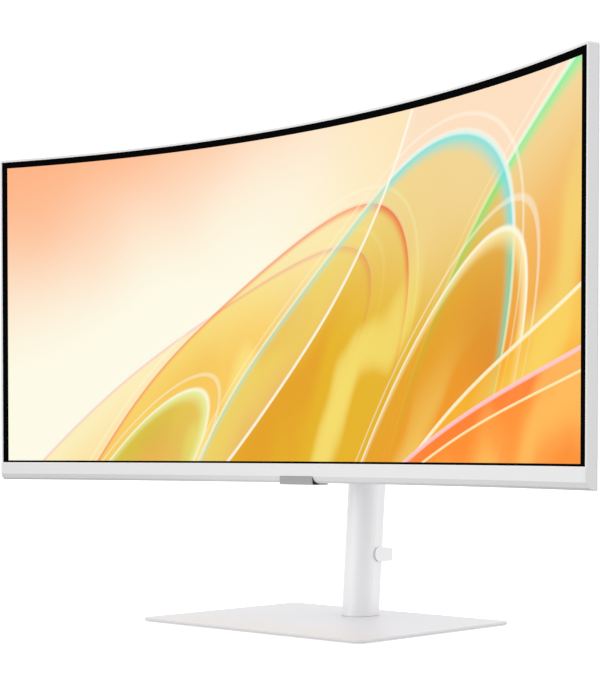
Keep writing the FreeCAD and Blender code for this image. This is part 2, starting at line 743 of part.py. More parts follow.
def open_rear_cover(body):
    """Window for the stand, wall-mount holes, port window, vents, lock slot and button hole."""
    wall_front = -behind(size.hump_back - size.cover_wall - 1)
    depth = size.cover_wall + 2
    sketch = new_sketch(body, "XZ_Plane", wall_front)
    half = size.window_half
    draw_box(sketch, -half, half, -half, half, as_dim(4.0))
    pocket(body, sketch, depth)
    sketch = new_sketch(body, "XZ_Plane", wall_front)
    pitch = size.vesa_pitch / 2
    for side in (-1, 1):
        for level in (-1, 1):
            draw_circle(sketch, pitch * side, pitch * level, size.vesa_boss + 0.4)
    for side in (-1, 1):
        for level in SCREW_LEVELS:
            draw_circle(sketch, side * SCREW_SIDE, level, 3.2)
    pocket(body, sketch, depth)
    sketch = new_sketch(body, "XZ_Plane", wall_front)
    draw_box(sketch, -(size.tray_left + 0.3), size.tray_right + 0.3,
             -(size.tray_low + 0.3), -(size.tray_high - 0.3), as_dim(3.0))
    pocket(body, sketch, depth)
    sketch = new_sketch(body, "XZ_Plane", wall_front)
    draw_box(sketch, as_dim(136.0), as_dim(139.0), as_dim(-72.0), as_dim(-65.0))
    pocket(body, sketch, depth)
    sketch = new_sketch(body, "XZ_Plane", wall_front)
    draw_box(sketch, as_dim(-132.0), as_dim(-129.8), as_dim(66.0), as_dim(78.0), as_dim(1.0))
    slot = pocket(body, sketch, depth)
    repeat(body, slot, sketch, "H_Axis", 261.0, 46)
    sketch = new_sketch(body, "XY_Plane", head_bottom - 1)
    draw_circle(sketch, size.jog_aside, behind(size.jog_behind), size.jog_hole)
    pocket(body, sketch, size.cover_wall + 6, reverse=True)


# ---------------------------------------------------------------- inside the head

def make_bracket():
    """Steel sheet behind the panel with a raised pan that takes the stand and the wall mount."""
    pan_back = plate_front - 0.1
    body = flat_block("board_bracket", -size.bracket_half_width, size.bracket_half_width,
                      size.bracket_gap, size.bracket_gap + size.bracket_sheet,
                      -size.bracket_bottom, size.bracket_top)
    sketch = new_sketch(body, "XZ_Plane", -behind(size.bracket_gap))
    half = size.pan_half
    draw_box(sketch, -half, half, -half, half, as_dim(6.0))
    pad(body, sketch, pan_back - size.bracket_gap, reverse=True)
    sketch = new_sketch(body, "XZ_Plane", -behind(size.bracket_gap - 1))
    half = size.pan_half - size.pan_wall
    draw_box(sketch, -half, half, -half, half, as_dim(4.5))
    pocket(body, sketch, pan_back - size.bracket_gap - size.pan_wall + 1)
    sketch = new_sketch(body, "XZ_Plane", -behind(size.bracket_gap + 4))
    pitch = size.vesa_pitch / 2
    for side in (-1, 1):
        for level in (-1, 1):
            draw_circle(sketch, pitch * side, pitch * level, size.vesa_boss + size.pin_play)
    draw_box(sketch, as_dim(-7.0), as_dim(7.0), as_dim(-37.5), as_dim(-22.5))
    pocket(body, sketch, pan_back)
    nuts = []
    for side in (-1, 1):
        for level in (-1, 1):
            start = Vector(side * pitch.value, behind(31.0).value, level * pitch.value)
            outer = Part.makeCylinder(size.vesa_boss.value, 8.4, start, Vector(0, 1, 0))
            bore = Part.makeCylinder(size.vesa_bore.value, 8.4, start, Vector(0, 1, 0))
            nuts.append(outer.cut(bore))
    shape_group("vesa_nuts", nuts, head=True)


def make_boards():
    """Signal, power, panel and button boards with their larger components."""
    front = size.board_gap
    back = front + size.board_depth
    flat_block("main_board", as_dim(-140.0), as_dim(62.0), front, back, as_dim(-117.0), as_dim(-66.0))
    flat_block("power_board", as_dim(68.0), as_dim(160.0), front, back, as_dim(-117.0), as_dim(62.0))
    flat_block("source_board", as_dim(-150.0), as_dim(150.0), as_dim(9.0), as_dim(10.6),
               as_dim(-160.0), as_dim(-132.0))
    top = back.value + 0.1
    block_group("main_board_parts", [
        (-30, -2, top, top + 6, -80, -68),
        (-58, -42, top, top + 2, -81, -68),
        (-90, -74, top, top + 2, -81, -68),
        (8, 26, top, top + 5, -80, -68),
    ])
    block_group("power_board_parts", [
        (76, 106, top, top + 17, -30, -2),
        (114, 146, top, top + 18, 6, 42),
        (78, 98, top, top + 15, 14, 44),
        (116, 150, top, top + 16, -62, -30),
    ])
    standoffs = []
    length = (front - size.bracket_gap - size.bracket_sheet).value
    for columns, rows in (((-132, 0), (-112, -72)), ((74, 152), (-112, 55))):
        for x in columns:
            for z in rows:
                start = Vector(x, behind(size.bracket_gap + size.bracket_sheet).value, z)
                standoffs.append(Part.makeCylinder(3.0, length, start, Vector(0, 1, 0)))
    shape_group("board_standoffs", standoffs, head=True)


def make_port_tray():
    """Recess in the rear for the sockets: a floor with their holes, and four walls."""
    floor = size.tray_floor
    rim = size.hump_back - 0.2
    body = flat_block("port_tray", -size.tray_left, size.tray_right, floor, rim,
                      -size.tray_low, -size.tray_high, corner=as_dim(3.0))
    sketch = new_sketch(body, "XZ_Plane", -behind(floor + size.tray_wall))
    wall = size.tray_wall
    draw_box(sketch, wall - size.tray_left, size.tray_right - wall,
             wall - size.tray_low, -size.tray_high - wall, as_dim(2.0))
    pocket(body, sketch, rim - floor)
    sketch = new_sketch(body, "XZ_Plane", -behind(floor - 1))
    for name, centre, width, height in SOCKETS:
        half = as_dim(width) / 2 + 0.2
        draw_box(sketch, centre - half, centre + half,
                 PORT_LEVEL - height / 2 - as_dim(0.2), PORT_LEVEL + height / 2 + as_dim(0.2))
    pocket(body, sketch, size.tray_wall + 2)


PORT_LEVEL = -98.0
JACK_SIDE = 8.0
SOCKETS = [
    ("hdmi_port", -119.0, 15.2, 6.0),
    ("display_port", -96.0, 17.4, 6.4),
    ("usb_c_port", -74.0, 9.4, 3.8),
    ("usb_a_ports", -54.0, 13.6, 6.2),
    ("usb_a_ports", -34.0, 13.6, 6.2),
    ("lan_port", 34.0, 16.4, 13.6),
    ("headphone_jack", 54.0, JACK_SIDE, JACK_SIDE),
    ("ac_inlet", 98.0, 31.0, 22.0),
]
SOCKET_AT = {name: centre for name, centre, width, height in SOCKETS}


def socket_shell(body, centre, width, height, wall, tongue, tongue_height):
    """One socket: a metal shell, open behind, with a contact tongue inside."""
    front = size.board_gap + size.board_depth + 0.1
    back = size.tray_floor + size.tray_wall
    flat_block(body.Name, as_dim(centre - width / 2), as_dim(centre + width / 2), front, back,
               as_dim(PORT_LEVEL - height / 2), as_dim(PORT_LEVEL + height / 2), body=body)
    sketch = new_sketch(body, "XZ_Plane", -behind(front + 1.2))
    half = width / 2 - wall
    draw_box(sketch, as_dim(centre - half), as_dim(centre + half),
             as_dim(PORT_LEVEL - height / 2 + wall), as_dim(PORT_LEVEL + height / 2 - wall),
             as_dim(min(0.8, tongue_height)))
    pocket(body, sketch, back - front)
    if tongue:
        sketch = new_sketch(body, "XZ_Plane", -behind(front + 1.0))
        draw_box(sketch, as_dim(centre - tongue / 2), as_dim(centre + tongue / 2),
                 as_dim(PORT_LEVEL - tongue_height / 2), as_dim(PORT_LEVEL + tongue_height / 2))
        pad(body, sketch, back - front - 2.4, reverse=True)


def make_sockets():
    """The signal sockets and the mains inlet, standing on the boards and facing the rear."""
    tongues = {
        "hdmi_port": (10.6, 0.6, 1.6),
        "display_port": (12.4, 0.6, 1.6),
        "usb_c_port": (6.6, 0.4, 0.7),
        "usb_a_ports": (11.0, 0.5, 1.8),
        "lan_port": (0, 1.4, 0.8),
    }
    bodies = {}
    for name, centre, width, height in SOCKETS:
        if name in tongues:
            if name not in bodies:
                bodies[name] = new_body(name, head=True)
                bodies[name].AllowCompound = True
            tongue, wall, tongue_height = tongues[name]
            socket_shell(bodies[name], centre, width, height, wall, tongue, tongue_height)
    front = size.board_gap + size.board_depth + 0.1
    back = size.tray_floor + size.tray_wall
    jack_at, jack_half = SOCKET_AT["headphone_jack"], JACK_SIDE / 2
    jack = flat_block("headphone_jack", as_dim(jack_at - jack_half), as_dim(jack_at + jack_half),
                      front, back, as_dim(PORT_LEVEL - jack_half), as_dim(PORT_LEVEL + jack_half))
    sketch = new_sketch(jack, "XZ_Plane", -behind(front + 1))
    draw_circle(sketch, jack_at, PORT_LEVEL, size.jack_bore)
    pocket(jack, sketch, back - front)
    inlet = new_body("ac_inlet", head=True)
    inlet_at = SOCKET_AT["ac_inlet"]
    socket_shell(inlet, inlet_at, 31.0, 22.0, 2.4, 0, 2.0)
    sketch = new_sketch(inlet, "XZ_Plane", -behind(front + 1.0))
    for x, z in ((-7.0, -2.0), (7.0, -2.0), (0.0, 2.0)):
        draw_box(sketch, as_dim(inlet_at + x - 1), as_dim(inlet_at + x + 1),
                 as_dim(PORT_LEVEL + z - 2), as_dim(PORT_LEVEL + z + 2))
    pad(inlet, sketch, back - front - 4.0, reverse=True)


def make_screws():
    """Four screws that hold the rear cover to the bracket."""
    screws = []
    for side in (-1, 1):
        for level in SCREW_LEVELS:
            head_at = Vector(side * SCREW_SIDE, behind(size.hump_back - 2.4).value, level)
            head = Part.makeCylinder(2.9, 2.0, head_at, Vector(0, 1, 0))
            slot = Part.makeBox(4.0, 1.0, 0.8, head_at + Vector(-2.0, 1.2, -0.4))
            cross = Part.makeBox(0.8, 1.0, 4.0, head_at + Vector(-0.4, 1.2, -2.0))
            shank_at = Vector(side * SCREW_SIDE, behind(size.board_gap + 3.2).value, level)
            reach = (size.hump_back - 2.4 - size.board_gap - 3.2).value
            shank = Part.makeCylinder(1.5, reach, shank_at, Vector(0, 1, 0))
            screws.append(head.fuse(shank).cut(slot).cut(cross))
    shape_group("rear_cover_screws", screws, head=True)


def make_jog():
    """Button board, switch, and the stem, ring and cap of the five-way button."""
    middle = size.jog_aside
    centre = behind(size.jog_behind)
    top = head_bottom + 22.0
    board = new_body("key_board", head=True)
    sketch = new_sketch(board, "XY_Plane", top)
    draw_box(sketch, middle - 26.0, middle + 26.0, centre - 6.5, centre + 8.0, as_dim(1.5))
    pad(board, sketch, 1.6)
    switch = new_body("jog_switch", head=True)
    sketch = new_sketch(switch, "XY_Plane", top - 6.1)
    draw_box(sketch, middle - 5.0, middle + 5.0, centre - 5.0, centre + 5.0, as_dim(0.8))
    pad(switch, sketch, 6.0)
    sketch = new_sketch(switch, "XY_Plane", top - 7.1)
    draw_circle(sketch, middle, centre, 2.2)
    pocket(switch, sketch, 5.0, reverse=True)
    stem = new_body("jog_stem", head=True)
    sketch = new_sketch(stem, "XY_Plane", head_bottom + 8.0)
    draw_circle(sketch, middle, centre, 1.6)
    pad(stem, sketch, 10.0)
    sketch = new_sketch(stem, "XY_Plane", head_bottom + 8.0)
    draw_circle(sketch, middle, centre, 3.2)
    pad(stem, sketch, 1.4)
    ring = new_body("jog_gimbal", head=True)
    sketch = new_sketch(ring, "XY_Plane", head_bottom + 5.6)
    draw_circle(sketch, middle, centre, 4.0)
    pad(ring, sketch, 1.8)
    cap = new_body("jog_cap", head=True)
    sketch = new_sketch(cap, "XY_Plane", head_bottom - size.jog_drop)
    draw_circle(sketch, middle, centre, size.jog_radius)
    pad(cap, sketch, size.jog_drop + 5.0)
    low = (head_bottom - size.jog_drop).value
    round_edges(cap, lambda edge: edge.BoundBox.ZMax < low + 0.01, 1.4)


# ---------------------------------------------------------------- tilt hinge

def make_plate():
    """Quick-release plate, its button, and the two hinge ears."""
    front = plate_front
    back = front + size.plate_sheet
    half = size.plate_half
    plate = new_body("quick_release_plate", head=True)
    sketch = new_sketch(plate, "XZ_Plane", -behind(front))
    draw_box(sketch, -half, half, -half, half, as_dim(3.0))
    pad(plate, sketch, size.plate_sheet, reverse=True)
    sketch = new_sketch(plate, "XZ_Plane", -behind(front - 1))
    draw_box(sketch, as_dim(-6.0), as_dim(6.0), as_dim(-36.6), as_dim(-23.4))
    pocket(plate, sketch, size.plate_sheet + 2)
    button = flat_block("release_button", as_dim(-11.0), as_dim(11.0), back + 0.3, back + 4.3,
                        as_dim(-34.0), as_dim(-21.0))
    round_edges(button, lambda edge: edge.BoundBox.YMin > behind(back + 4.2).value, 1.2)
    flat_block("release_button", as_dim(-5.5), as_dim(5.5), front + 0.2, back + 0.4,
               as_dim(-32.0), as_dim(-24.0), body=button)
    bracket = new_body("tilt_bracket", head=True)
    hinge = behind(size.pivot_back)
    sketch = new_sketch(bracket, "YZ_Plane")
    draw_outline(sketch, [
        (behind(back), as_dim(-18.0)),
        (behind(back + size.ear_sheet), as_dim(-18.0)),
        (hinge, -size.arm_radius, hinge, as_dim(0), 1),
        (hinge, size.arm_radius),
        (behind(back + size.ear_sheet), as_dim(18.0)),
        (behind(back), as_dim(18.0)),
    ])
    pad(bracket, sketch, (size.ear_gap + size.ear_sheet) * 2, midplane=True)
    sketch = new_sketch(bracket, "YZ_Plane")
    draw_box(sketch, behind(back + size.ear_sheet), hinge + 20, as_dim(-20.0), as_dim(20.0))
    pocket(bracket, sketch, size.ear_gap * 2, midplane=True)
    sketch = new_sketch(bracket, "YZ_Plane")
    draw_circle(sketch, hinge, 0, size.pin_radius)
    pocket(bracket, sketch, 60.0, midplane=True)


def make_tilt_shaft():
    """Shaft through the ears, with its head, nut and friction washers."""
    shaft = new_body("tilt_shaft", head=True)
    hinge = behind(size.pivot_back)
    outside = size.ear_gap + size.ear_sheet
    sketch = new_sketch(shaft, "YZ_Plane")
    draw_circle(sketch, hinge, 0, size.pin_radius)
    pad(shaft, sketch, (outside + 2.8) * 2, midplane=True)
    sketch = new_sketch(shaft, "YZ_Plane", outside)
    draw_circle(sketch, hinge, 0, 6.5)
    pad(shaft, sketch, 2.4)
    nut = new_body("tilt_nut", head=True)
    sketch = new_sketch(nut, "YZ_Plane", -outside - 2.6)
    corners = [(hinge + 7.0 * math.cos(math.radians(60 * k)),
                as_dim(7.0 * math.sin(math.radians(60 * k)))) for k in range(6)]
    draw_outline(sketch, corners)
    pad(nut, sketch, 2.6)
    sketch = new_sketch(nut, "YZ_Plane")
    draw_circle(sketch, hinge, 0, size.pin_radius)
    pocket(nut, sketch, 60.0, midplane=True)
    washers = []
    for start in (size.arm_half.value + 0.4, -size.ear_gap.value):
        at = Vector(start, hinge.value, 0)
        length = size.ear_gap.value - size.arm_half.value - 0.4
        ring = Part.makeCylinder(9.5, length, at, Vector(1, 0, 0))
        hole = Part.makeCylinder(size.pin_radius.value, length, at, Vector(1, 0, 0))
        washers.append(ring.cut(hole))
    shape_group("friction_washers", washers, head=True)


# ---------------------------------------------------------------- height slider

def make_carriage():
    """Slider inside the column with the arm that carries the tilt hinge."""
    centre = column_centre(size.screen_level) - pivot_y
    low_centre = column_centre(size.screen_level - size.carriage_foot) - pivot_y
    body = new_body("carriage", y=pivot_y, z=size.screen_level)
    sketch = new_sketch(body, "XY_Plane", -size.carriage_foot)
    half = size.carriage_half
    draw_box(sketch, -half, half, low_centre - 3.0, low_centre + 11.0)
    pad(body, sketch, size.carriage_foot + size.carriage_top, lean=True)
    sketch = new_sketch(body, "YZ_Plane")
    radius = size.arm_radius
    draw_outline(sketch, [
        (as_dim(0), radius, as_dim(0), as_dim(0), 1),
        (as_dim(0), -radius),
        (centre - 1.0, as_dim(-14.0)),
        (centre - 1.0, as_dim(14.0)),
    ])
    pad(body, sketch, size.slot_width - 1.0, midplane=True)
    sketch = new_sketch(body, "YZ_Plane")
    draw_outline(sketch, [
        (as_dim(0), radius, as_dim(0), as_dim(0), 1),
        (as_dim(0), -radius),
        (as_dim(25.0), -radius),
        (as_dim(25.0), radius),
    ])
    pad(body, sketch, size.arm_half * 2, midplane=True)
    sketch = new_sketch(body, "YZ_Plane")
    draw_circle(sketch, 0, 0, size.pin_radius + size.pin_play)
    pocket(body, sketch, 60.0, midplane=True)
    drum_y = column_centre(size.screen_level - size.drum_drop) - pivot_y + 4.0
    room = size.drum_radius + 1.0
    sketch = new_sketch(body, "YZ_Plane")
    draw_box(sketch, drum_y - 20, drum_y + 20, -size.drum_drop - room, -size.drum_drop + room)
    pocket(body, sketch, (size.drum_half + 0.5) * 2, midplane=True)
    sketch = new_sketch(body, "YZ_Plane")
    draw_circle(sketch, drum_y, -size.drum_drop, size.drum_pin)
    pocket(body, sketch, 60.0, midplane=True)
    drum = new_body("spring_drum", y=pivot_y + drum_y, z=size.screen_level - size.drum_drop)
    sketch = new_sketch(drum, "YZ_Plane")
    draw_circle(sketch, 0, 0, size.drum_radius)
    pad(drum, sketch, size.drum_half * 2, midplane=True)
    sketch = new_sketch(drum, "YZ_Plane")
    draw_circle(sketch, 0, 0, size.drum_pin + size.pin_play)
    pocket(drum, sketch, 60.0, midplane=True)
    pin = new_body("spring_pin", y=pivot_y + drum_y, z=size.screen_level - size.drum_drop)
    sketch = new_sketch(pin, "YZ_Plane")
    draw_circle(sketch, 0, 0, size.drum_pin)
    pad(pin, sketch, size.carriage_half * 2, midplane=True)
    pads = []
    inner = (size.channel_half - size.channel_wall).value
    for side in (-1, 1):
        for level in (-size.carriage_foot.value + 2.0, size.carriage_top.value - 10.0):
            height = (size.screen_level + (level + 4.0)).value
            depth = column_centre(as_dim(height)).value + 4.0
            thick = inner - 0.35 - size.carriage_half.value
            x_low = size.carriage_half.value if side > 0 else -size.carriage_half.value - thick
            start = Vector(x_low, depth - 5.0, size.screen_level.value + level)
            pads.append(Part.makeBox(thick, 10.0, 8.0, start))
    shape_group("glide_pads", pads)


def make_hinge_cover():
    """White shroud round the hinge, fixed to the carriage arm."""
    body = new_body("hinge_cover", y=pivot_y, z=size.screen_level)
    sketch = new_sketch(body, "YZ_Plane")
    draw_box(sketch, as_dim(3.0), as_dim(27.8), as_dim(-17.5), as_dim(17.5))
    pad(body, sketch, 41.0, midplane=True)
    round_edges(body, lambda edge: edge.BoundBox.XLength < 0.01 and edge.BoundBox.ZLength < 0.01, 5.0)
    sketch = new_sketch(body, "YZ_Plane")
    draw_box(sketch, as_dim(1.0), as_dim(26.0), as_dim(-15.7), as_dim(15.7))
    pocket(body, sketch, 37.6, midplane=True)
    sketch = new_sketch(body, "YZ_Plane")
    draw_box(sketch, as_dim(20.0), as_dim(40.0), as_dim(-14.5), as_dim(14.5))
    pocket(body, sketch, size.slot_width - 0.4, midplane=True)


# ---------------------------------------------------------------- column

def column_outline(centre, inset):
    """Outer D of the column: half round in front, flat sides and small rear corners."""
    radius = size.column_radius - inset
    rear = centre + size.column_flat - inset
    corner = size.column_corner - inset
    return [
        (-radius, centre, as_dim(0), centre, 1),
        (radius, centre),
        (radius, rear - corner, radius - corner, rear - corner, 1),
        (radius - corner, rear),
        (corner - radius, rear, corner - radius, rear - corner, 1),
        (-radius, rear - corner),
    ]


def make_column_covers():
    """Half-round front cover, flat-sided rear cover and the cap."""
    low = base_top + size.column_seam
    high = size.column_top - 3.6
    centre = column_centre(low)
    radius = size.column_radius
    inner = radius - size.column_wall
    front = new_body("column_front_cover")
    sketch = new_sketch(front, "XY_Plane", low)
    draw_outline(sketch, [
        (-radius, centre, as_dim(0), centre, 1),
        (radius, centre),
        (inner, centre, as_dim(0), centre, -1),
        (-inner, centre),
    ])
    pad(front, sketch, high - low, lean=True)
    sketch = new_sketch(front, "XZ_Plane", as_dim(-74.0))
    draw_box(sketch, -(size.slot_width / 2), size.slot_width / 2, size.slot_low, size.slot_high,
             as_dim(3.0))
    pocket(front, sketch, 60.0, reverse=True)
    rear = new_body("column_rear_cover")
    sketch = new_sketch(rear, "XY_Plane", low)
    seam = centre + size.cover_seam
    back = centre + size.column_flat
    corner = size.column_corner
    wall = size.column_wall
    draw_outline(sketch, [
        (radius, seam),
        (radius, back - corner, radius - corner, back - corner, 1),
        (radius - corner, back),
        (corner - radius, back, corner - radius, back - corner, 1),
        (-radius, back - corner),
        (-radius, seam),
        (wall - radius, seam),
        (wall - radius, back - corner, corner - radius, back - corner, -1),
        (corner - radius, back - wall),
        (radius - corner, back - wall, radius - corner, back - corner, -1),
        (radius - wall, back - corner),
        (radius - wall, seam),
    ])
    pad(rear, sketch, high - low, lean=True)
    cap = new_body("column_top_cap")
    sketch = new_sketch(cap, "XY_Plane", high + 0.3)
    draw_outline(sketch, column_outline(column_centre(high + 0.3), as_dim(0)))
    pad(cap, sketch, size.column_top - high - 0.3, lean=True)
    top = size.column_top.value
    round_edges(cap, lambda edge: edge.BoundBox.ZMin > top - 0.01, 1.5)


def make_channel():
    """Steel channel that carries the load, with its foot flange, and the spring's tape."""
    low = size.flange_level
    centre = column_centre(low)
    half = size.channel_half
    wall = size.channel_wall
    front = centre - size.channel_front
    rear = centre + size.channel_rear
    lip = size.slot_width / 2
    body = new_body("column_profile")
    sketch = new_sketch(body, "XY_Plane", low)
    draw_outline(sketch, [
        (-lip, front), (-half, front), (-half, rear), (half, rear), (half, front), (lip, front),
        (lip, front + wall), (half - wall, front + wall), (half - wall, rear - wall),
        (wall - half, rear - wall), (wall - half, front + wall), (-lip, front + wall),
    ])
    pad(body, sketch, size.column_top - 6.0 - low, lean=True)
    sketch = new_sketch(body, "XY_Plane", low)
    draw_box(sketch, -half, half, front, rear)
    pad(body, sketch, size.flange_sheet)
    sketch = new_sketch(body, "XY_Plane", low - 1)
    draw_circle(sketch, 0, size.column_back + size.swivel_behind, size.spindle_radius + size.pin_play)
    pocket(body, sketch, size.flange_sheet + 2, reverse=True)
    tape_low = size.screen_level - size.drum_drop + 50.0
    tape = new_body("spring_tape")
    sketch = new_sketch(tape, "XY_Plane", tape_low)
    back = column_centre(tape_low) + size.channel_rear - wall
    draw_box(sketch, -(size.drum_half - 1), size.drum_half - 1, back - 0.35, back - 0.05)
    pad(tape, sketch, size.column_top - 8.0 - tape_low, lean=True)


def make_clip():
    """Snap-on cable clip: two round-ended arms and a loop behind the column."""
    level = base_top + size.clip_level
    body = new_body("cable_clip", y=column_centre(level), z=level, leaning=True)
    half = size.clip_height / 2
    nose = half + 0.4
    back = size.column_flat + size.clip_reach
    inner = size.column_radius + 0.15
    sketch = new_sketch(body, "YZ_Plane")
    draw_outline(sketch, [
        (nose, half, nose, as_dim(0), 1),
        (nose, -half),
        (size.column_flat, -half),
        (back - 1.5, -half + 1.2),
        (back, -half + 2.6),
        (back, half - 2.2),
        (back - 1.5, half - 0.8),
        (size.column_flat, half),
    ])
    pad(body, sketch, (inner + size.clip_wall) * 2, midplane=True)
    sketch = new_sketch(body, "XY_Plane", -size.clip_height)
    draw_box(sketch, -inner, inner, as_dim(-8.0), back - size.clip_wall, as_dim(3.0))
    pocket(body, sketch, size.clip_height * 2, reverse=True)

    def rear_corner(edge):
        box = edge.BoundBox
        return box.XLength < 0.01 and box.YMin > (back - 0.01).value and edge.CenterOfMass.x ** 2 > 300

    round_edges(body, rear_corner, 2.5)


# ---------------------------------------------------------------- base

def make_base():
    """Flat base plate with its rubber feet."""
    plate = new_body("base_plate")
    sketch = new_sketch(plate, "XY_Plane", size.foot_height)
    half_x = size.base_width / 2
    half_y = size.base_depth / 2
    draw_box(sketch, -half_x, half_x, -half_y, half_y, size.base_corner)
    pad(plate, sketch, size.base_thick)

    def rim(edge):
        return edge.BoundBox.ZLength < 0.01

    round_edges(plate, rim, size.base_edge)
    axis_y = size.column_back + size.swivel_behind
    sketch = new_sketch(plate, "XY_Plane", size.foot_height - 1)
    draw_circle(sketch, 0, axis_y, size.recess_radius)
    pocket(plate, sketch, size.recess_depth + 1, reverse=True)
    sketch = new_sketch(plate, "XY_Plane", 0)
    draw_circle(sketch, 0, axis_y, size.spindle_radius + 1)
    pocket(plate, sketch, 20.0, reverse=True)
    feet = []
    inset = size.foot_inset.value
    for x in (-half_x.value + inset, half_x.value - inset):
        for y in (-half_y.value + inset, 0.0, half_y.value - inset):
            feet.append(Part.makeCylinder(size.foot_radius.value, size.foot_height.value,
                                          Vector(x, y, 0)))
    shape_group("base_feet", feet)


def make_swivel():
    """Spindle fixed in the base, its washers and nut, and the captive screw with its ring."""
    axis_y = size.column_back + size.swivel_behind
    spindle = new_body("swivel_spindle")
    sketch = new_sketch(spindle, "XY_Plane", size.foot_height + size.recess_depth)
    draw_circle(sketch, 0, axis_y, size.spindle_radius + 1)
    pad(spindle, sketch, size.base_thick - size.recess_depth)
    sketch = new_sketch(spindle, "XY_Plane", base_top)
    draw_circle(sketch, 0, axis_y, size.washer_radius)
    pad(spindle, sketch, 1.2)
    sketch = new_sketch(spindle, "XY_Plane", base_top)
    draw_circle(sketch, 0, axis_y, size.spindle_radius)
    pad(spindle, sketch, 12.0)
    sketch = new_sketch(spindle, "XY_Plane", 0)
    draw_circle(sketch, 0, axis_y, 3.05)
    pocket(spindle, sketch, 15.5, reverse=True)
    washers = []
    for low, thick in ((base_top.value + 1.3, 0.7), (size.flange_level.value + 3.3, 0.9)):
        at = Vector(0, axis_y.value, low)
        ring = Part.makeCylinder(size.washer_radius.value - 1.8, thick, at)
        washers.append(ring.cut(Part.makeCylinder(size.spindle_radius.value + 0.05, thick, at)))
    shape_group("swivel_washers", washers)
    nut = new_body("swivel_nut")
    sketch = new_sketch(nut, "XY_Plane", size.flange_level + 4.3)
    corners = [(as_dim(7.4 * math.cos(math.radians(60 * k))),
                axis_y + 7.4 * math.sin(math.radians(60 * k))) for k in range(6)]
    draw_outline(sketch, corners)
    pad(nut, sketch, 4.6)
    sketch = new_sketch(nut, "XY_Plane", 0)
    draw_circle(sketch, 0, axis_y, size.spindle_radius)
    pocket(nut, sketch, 40.0, reverse=True)
    head_low = size.foot_height + size.thumb_gap
    half_thick = size.thumb_thick / 2
    screw = new_body("thumb_screw")
    sketch = new_sketch(screw, "XY_Plane", head_low)
    draw_circle(sketch, 0, axis_y, size.thumb_radius)
    pad(screw, sketch, size.thumb_thick)
    sketch = new_sketch(screw, "XY_Plane", head_low)
    draw_circle(sketch, 0, axis_y, 3.0)
    pad(screw, sketch, 12.0)
    sketch = new_sketch(screw, "YZ_Plane")
    draw_circle(sketch, axis_y, head_low + half_thick, size.thumb_pin)
    pad(screw, sketch, 25.0, midplane=True)
    ring = new_body("thumb_ring")
    sketch = new_sketch(ring, "XY_Plane", head_low)
    outer = size.ring_outer
    inner = size.ring_inner
    draw_outline(sketch, [
        (-outer, axis_y, as_dim(0), axis_y, 1),
        (outer, axis_y),
        (outer, axis_y + half_thick),
        (inner, axis_y + half_thick),
        (inner, axis_y, as_dim(0), axis_y, -1),
        (-inner, axis_y),
        (-inner, axis_y + half_thick),
        (-outer, axis_y + half_thick),
    ])
    pad(ring, sketch, size.thumb_thick)
    sketch = new_sketch(ring, "YZ_Plane")
    draw_circle(sketch, axis_y, head_low + half_thick, size.thumb_pin + size.pin_play)
    pocket(ring, sketch, 60.0, midplane=True)


def check_and_write():
    """Stop on any failed feature or bad shape, then write one file a node."""
    doc.recompute()
    for item in doc.Objects:
        if "Invalid" in item.State or "Error" in item.State:
            raise RuntimeError(f"{item.Name}: {item.State}")
    os.makedirs("parts", exist_ok=True)
    for node in NODES:
        shape = node.Shape
        if shape.isNull() or not shape.isValid():
            raise RuntimeError(f"{node.Label} has a bad shape")
        print(node.Label, len(shape.Solids), round(shape.Volume / 1000, 2), "cm3")
        shape.exportStep(f"parts/{node.Label}.step")


make_panel()
make_front_frame()
make_chin()
make_tab()
open_rear_cover(make_rear_cover())
make_bracket()
make_boards()
make_port_tray()
make_sockets()
make_screws()
make_jog()
make_plate()
make_tilt_shaft()
make_carriage()
make_hinge_cover()
make_column_covers()
make_channel()
make_clip()
make_base()
make_swivel()
check_and_write()
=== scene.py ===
"""Looks of the curved monitor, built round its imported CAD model. Metres, row frame: screen faces -Y."""

import json
import math

import bpy
from mathutils import Euler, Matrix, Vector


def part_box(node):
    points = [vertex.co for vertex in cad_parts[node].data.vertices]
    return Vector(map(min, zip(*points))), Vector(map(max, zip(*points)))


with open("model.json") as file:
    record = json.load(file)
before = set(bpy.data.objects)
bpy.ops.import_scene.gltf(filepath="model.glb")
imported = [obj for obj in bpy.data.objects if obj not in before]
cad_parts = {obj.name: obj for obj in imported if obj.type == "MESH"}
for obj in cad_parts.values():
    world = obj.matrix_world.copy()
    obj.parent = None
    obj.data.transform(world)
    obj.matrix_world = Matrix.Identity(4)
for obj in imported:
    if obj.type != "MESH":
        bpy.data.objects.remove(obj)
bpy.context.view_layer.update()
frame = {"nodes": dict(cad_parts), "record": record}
MM = 0.001

# The picture is lit from inside; its own height is the unit of the wallpaper's coordinates.
MASK_LOW, MASK_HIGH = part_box("border_mask")


# ---------------------------------------------------------------- fields: numbers and colours made of nodes

